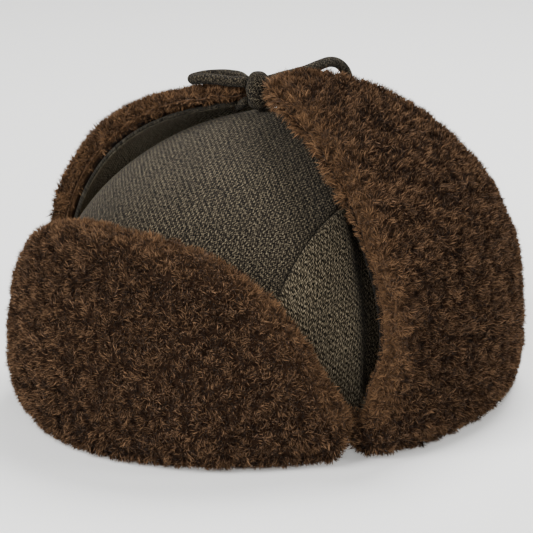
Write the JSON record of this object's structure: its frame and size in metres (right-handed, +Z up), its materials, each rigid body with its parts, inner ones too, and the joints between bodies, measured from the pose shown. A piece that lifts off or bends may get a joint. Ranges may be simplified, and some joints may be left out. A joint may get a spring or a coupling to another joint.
{
  "type": "aviator hat",
  "caption": "Wool hat with deep curly fur on a turned-up front flap and two ear and neck flaps, tied over the crown with a cloth cord in a bow.",
  "frame": {"origin": "centre of the hat's footprint, on the surface that its rim rests on", "axes": "+Z up, +Y towards the back of the head, so the front flap faces -Y, +X towards the wearer's left"},
  "size_m": [0.2063, 0.2365, 0.1408],
  "materials": {
    "wool_cloth": "coarse wool twill, taupe with light and dark threads, matte",
    "shearling": "dense curly dark brown shearling, matte",
    "wool_cord": "soft cord sewn from the same wool cloth, matte"
  },
  "bodies": {
    "root": {"crown_centre_panel": "wool_cloth", "crown_side_panel_left": "wool_cloth", "crown_side_panel_right": "wool_cloth", "visor_cloth": "wool_cloth", "ear_flap_cloth_left": "wool_cloth", "ear_flap_cloth_right": "wool_cloth", "visor_fur": "shearling", "ear_flap_fur_left": "shearling", "ear_flap_fur_right": "shearling", "bow_knot": "wool_cord", "tie_cord_left": "wool_cord", "tie_cord_right": "wool_cord", "bow_loop_back": "wool_cord", "bow_loop_right": "wool_cord", "tie_end_left": "wool_cord", "tie_end_right": "wool_cord"}
  },
  "joints": []
}
